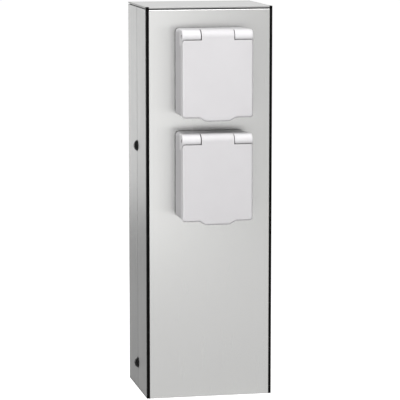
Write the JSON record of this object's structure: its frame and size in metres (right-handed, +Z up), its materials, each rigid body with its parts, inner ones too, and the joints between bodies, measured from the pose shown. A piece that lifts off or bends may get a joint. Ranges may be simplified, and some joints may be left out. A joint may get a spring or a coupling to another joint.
{
  "type": "garden socket post",
  "caption": "Rectangular brushed-steel garden post with black corner strips and hinged-lid sockets one above the other on its front.",
  "frame": {"origin": "on the ground at the centre of the anchor holes", "axes": "+Z up, front with the sockets towards -Y, +X to the right when seen from the front"},
  "size_m": [0.1366, 0.146, 0.4],
  "materials": {
    "stainless_steel": "vertically brushed stainless steel",
    "strip_black": "black powder coat",
    "black_screw": "black zinc",
    "black_rubber": "matt",
    "light_grey_plastic": "finely grained light grey",
    "dark_plastic": "moulded",
    "grey_plastic": "moulded",
    "blue_plastic": "moulded",
    "green_yellow_plastic": "moulded, green with yellow",
    "brown_insulation": "wire insulation",
    "blue_insulation": "wire insulation",
    "green_yellow_insulation": "wire insulation, green with a yellow stripe",
    "zinc_steel": "zinc plated",
    "spring_steel": "spring wire",
    "contact_brass": "pressed brass"
  },
  "bodies": {
    "post": {"housing_shell": "stainless_steel", "front_panel": "stainless_steel", "top_cover": "stainless_steel", "left_edge_strip": "strip_black", "right_edge_strip": "strip_black", "top_gasket": "black_rubber", "cable_grommet": "black_rubber", "panel_studs": "zinc_steel", "cover_studs": "zinc_steel", "panel_nuts": "zinc_steel", "cover_nuts": "zinc_steel", "housing_screws": "black_screw", "rivet_nuts": "zinc_steel", "base_plate": "zinc_steel", "left_upright": "zinc_steel", "right_upright": "zinc_steel", "foot_bolts": "zinc_steel", "rail_bracket": "zinc_steel", "bracket_rivets": "zinc_steel", "terminal_rail": "zinc_steel", "rail_screws": "zinc_steel", "terminal_screws": "zinc_steel", "end_clamps": "grey_plastic", "line_terminal": "grey_plastic", "neutral_terminal": "blue_plastic", "earth_terminal": "green_yellow_plastic", "line_wires": "brown_insulation", "neutral_wires": "blue_insulation", "earth_wires": "green_yellow_insulation", "centre_screws": "zinc_steel", "contact_screws": "zinc_steel", "socket_screws": "zinc_steel", "socket_nuts": "zinc_steel", "lower_socket_gasket": "black_rubber", "lower_socket_box": "light_grey_plastic", "lower_frame": "light_grey_plastic", "lower_hinge_pin": "stainless_steel", "lower_hinge_spring": "spring_steel", "lower_insert": "light_grey_plastic", "lower_earth_clip": "contact_brass", "lower_line_contact": "contact_brass", "lower_neutral_contact": "contact_brass", "lower_contact_carrier": "dark_plastic", "upper_socket_gasket": "black_rubber", "upper_socket_box": "light_grey_plastic", "upper_frame": "light_grey_plastic", "upper_hinge_pin": "stainless_steel", "upper_hinge_spring": "spring_steel", "upper_insert": "light_grey_plastic", "upper_earth_clip": "contact_brass", "upper_line_contact": "contact_brass", "upper_neutral_contact": "contact_brass", "upper_contact_carrier": "dark_plastic"},
    "upper_lid": {"upper_lid": "light_grey_plastic", "upper_lid_seal": "black_rubber"},
    "lower_lid": {"lower_lid": "light_grey_plastic", "lower_lid_seal": "black_rubber"}
  },
  "joints": [
    {"name": "upper_lid_hinge", "type": "hinge", "parent": "post", "child": "upper_lid", "pos_m": [0, -0.0865, 0.3725], "axis": [-1, 0, 0], "range_deg": [0, 110], "stiffness_Nm_per_rad": 0.015, "springref_deg": -74.48, "deforming": ["upper_hinge_spring"]},
    {"name": "lower_lid_hinge", "type": "hinge", "parent": "post", "child": "lower_lid", "pos_m": [0, -0.0865, 0.2685], "axis": [-1, 0, 0], "range_deg": [0, 110], "stiffness_Nm_per_rad": 0.015, "springref_deg": -74.48, "deforming": ["lower_hinge_spring"]}
  ]
}
